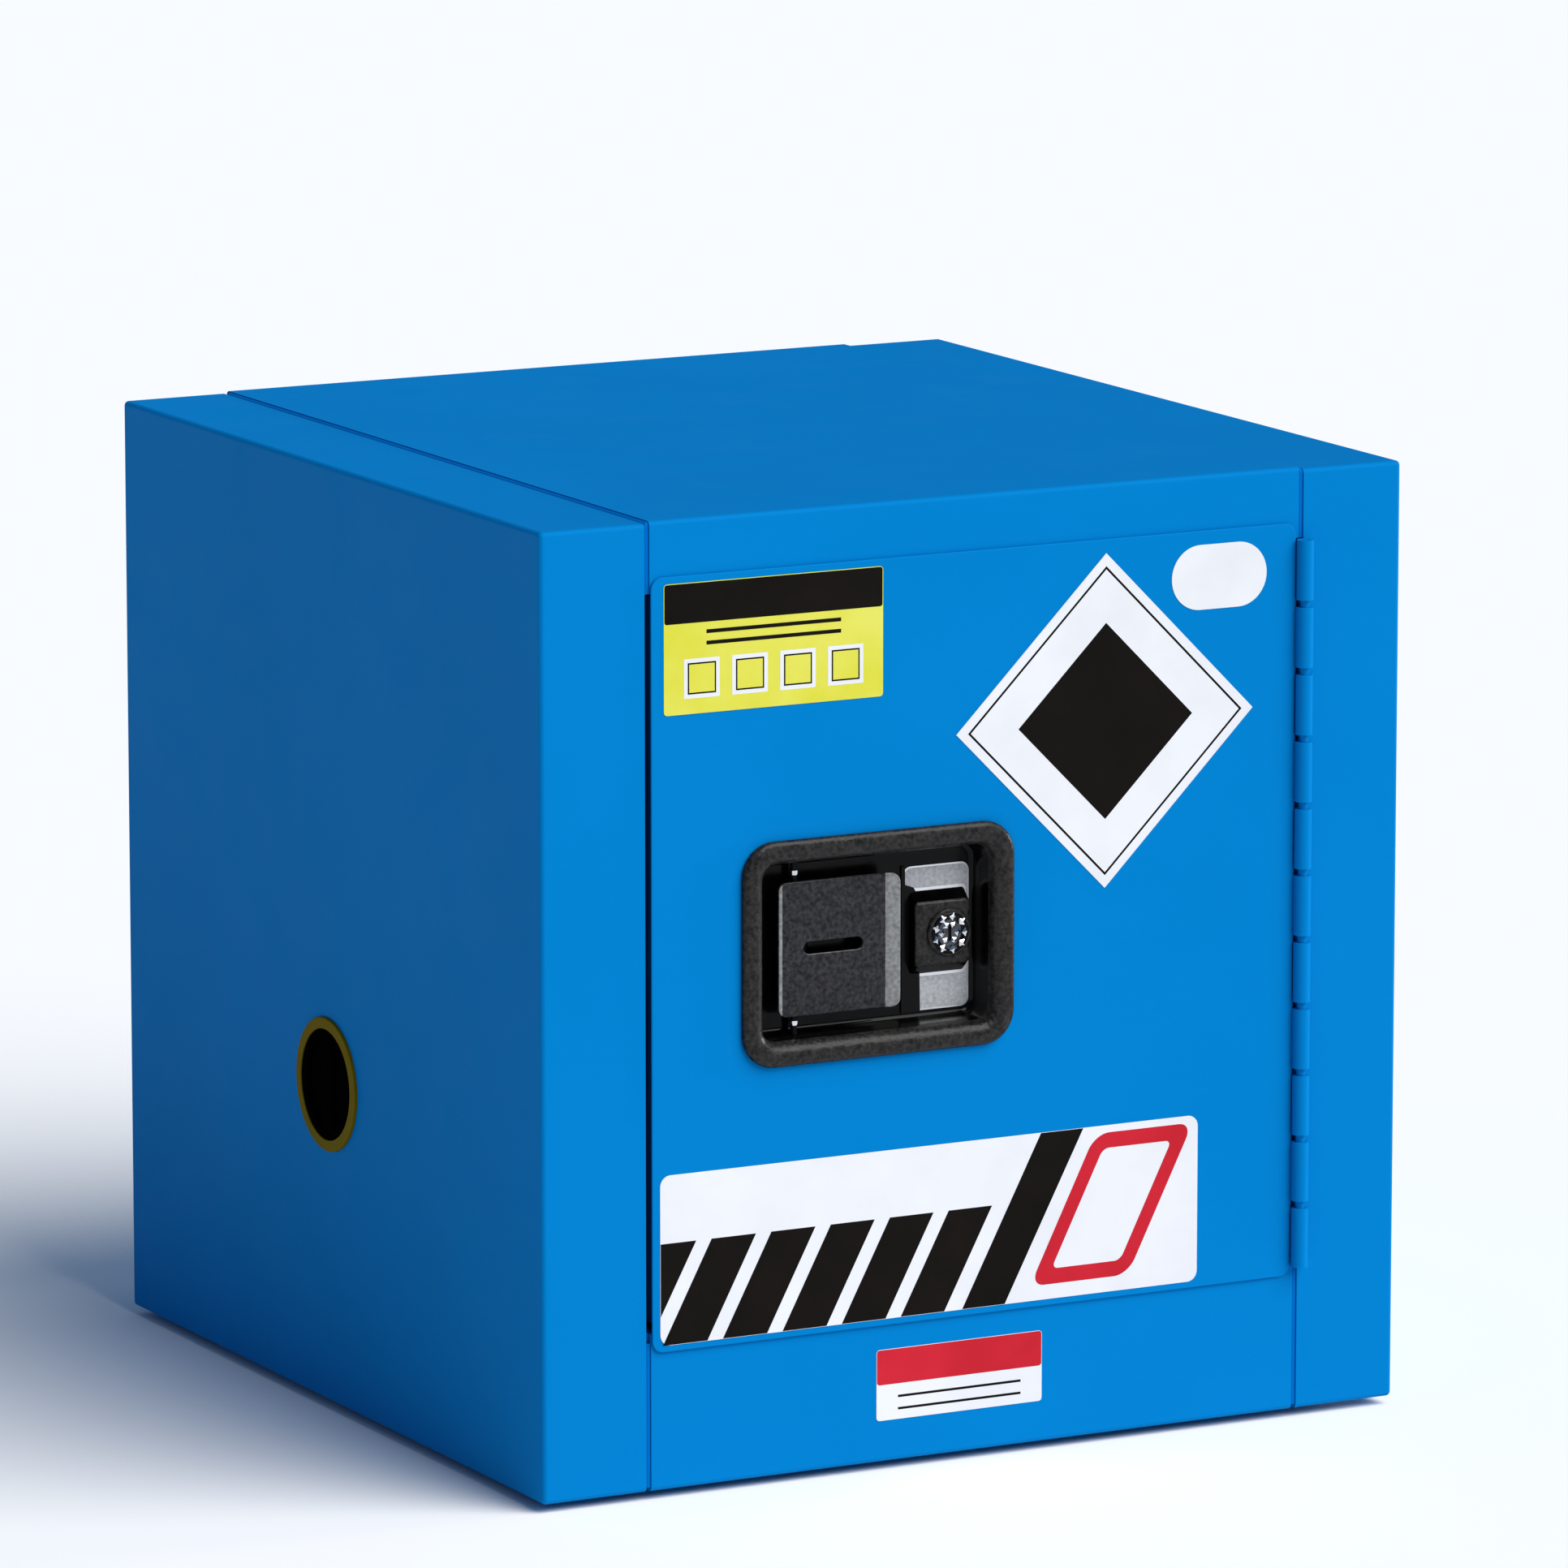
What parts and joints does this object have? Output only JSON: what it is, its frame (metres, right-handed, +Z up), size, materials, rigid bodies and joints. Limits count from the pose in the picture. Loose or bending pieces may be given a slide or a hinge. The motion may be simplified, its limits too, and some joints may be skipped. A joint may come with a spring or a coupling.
{
  "type": "flammable safety cabinet",
  "caption": "Small countertop double-walled steel safety cabinet with a hinged door, recessed paddle latch, key lock, side vents and a lift-out shelf.",
  "frame": {"origin": "under the middle of the cabinet, on the surface that its feet stand on", "axes": "+Z up, the door faces -Y, +X is to the right when seen from the front"},
  "size_m": [0.433, 0.4538, 0.434],
  "materials": {
    "blue_powder_coat": "smooth satin powder coat",
    "galvanised_steel": "zinc plated",
    "spring_steel": "drawn wire",
    "black_textured_coat": "fine textured powder coat",
    "chrome_plate": "polished",
    "black_rubber": "moulded",
    "black_plastic": "moulded",
    "yellow_paint": "satin",
    "brass": "turned",
    "white_vinyl": "printed film",
    "yellow_vinyl": "printed film"
  },
  "bodies": {
    "cabinet": {"left_side_shell": "blue_powder_coat", "right_side_shell": "blue_powder_coat", "top_shell": "blue_powder_coat", "base_shell": "blue_powder_coat", "back_shell": "blue_powder_coat", "left_liner": "blue_powder_coat", "right_liner": "blue_powder_coat", "back_liner": "blue_powder_coat", "ceiling_liner": "blue_powder_coat", "sump_tray": "blue_powder_coat", "side_spacers": "galvanised_steel", "back_spacers": "galvanised_steel", "top_spacers": "galvanised_steel", "base_spacers": "galvanised_steel", "hinge_frame_leaf": "blue_powder_coat", "hinge_pin": "galvanised_steel", "strike_plate": "galvanised_steel", "strike_screws": "galvanised_steel", "left_vent_ring": "yellow_paint", "right_vent_ring": "yellow_paint", "left_flame_screen": "galvanised_steel", "right_flame_screen": "galvanised_steel", "shelf_rails": "galvanised_steel", "shelf_clips": "galvanised_steel", "ground_stud": "brass", "ground_nuts": "brass", "rubber_feet": "black_rubber", "foot_screws": "galvanised_steel", "rail_label": "white_vinyl"},
    "door": {"door_skin": "blue_powder_coat", "door_pan": "blue_powder_coat", "door_stiffener": "blue_powder_coat", "hinge_door_leaf": "blue_powder_coat", "latch_bezel": "black_textured_coat", "latch_gasket": "black_rubber", "latch_frame": "galvanised_steel", "latch_case": "galvanised_steel", "latch_screws": "galvanised_steel", "paddle_pin": "spring_steel", "paddle_spring": "spring_steel", "lock_cylinder": "chrome_plate", "lock_nut": "galvanised_steel", "stripe_label": "white_vinyl", "yellow_label": "yellow_vinyl", "diamond_label": "white_vinyl", "oval_label": "white_vinyl"},
    "paddle": {"paddle": "black_textured_coat"},
    "key_plug": {"key_plug": "chrome_plate", "lock_cam": "galvanised_steel"},
    "latch_bolt": {"latch_bolt": "galvanised_steel", "bolt_spring": "spring_steel"},
    "shelf": {"shelf": "galvanised_steel"},
    "left_bung": {"left_bung": "black_plastic"},
    "right_bung": {"right_bung": "black_plastic"}
  },
  "joints": [
    {"name": "door_swing", "type": "hinge", "parent": "cabinet", "child": "door", "pos_m": [0.1633, -0.22307, 0.2386], "axis": [0, 0, 1], "range_deg": [0, 170]},
    {"name": "paddle_pull", "type": "hinge", "parent": "door", "child": "paddle", "pos_m": [-0.0873, -0.21058, 0.2386], "axis": [0, 0, -1], "range_deg": [0, 35], "stiffness_Nm_per_rad": 0.15},
    {"name": "bolt_slide", "type": "slide", "parent": "door", "child": "latch_bolt", "axis": [1, 0, 0], "range_m": [0, 0.01], "deforming": ["bolt_spring"]},
    {"name": "key_turn", "type": "hinge", "parent": "door", "child": "key_plug", "pos_m": [-0.0116, -0.2, 0.2386], "axis": [0, 1, 0], "range_deg": [0, 90]},
    {"name": "shelf_lift", "type": "slide", "parent": "cabinet", "child": "shelf", "axis": [0, 0, 1], "range_m": [0, 0.03]},
    {"name": "left_bung_pull", "type": "slide", "parent": "cabinet", "child": "left_bung", "axis": [-1, 0, 0], "range_m": [0, 0.03]},
    {"name": "right_bung_pull", "type": "slide", "parent": "cabinet", "child": "right_bung", "axis": [1, 0, 0], "range_m": [0, 0.03]}
  ],
  "couplings": [
    {"joint": "bolt_slide", "follows": "paddle_pull", "m_per_rad": 0.01636}
  ]
}
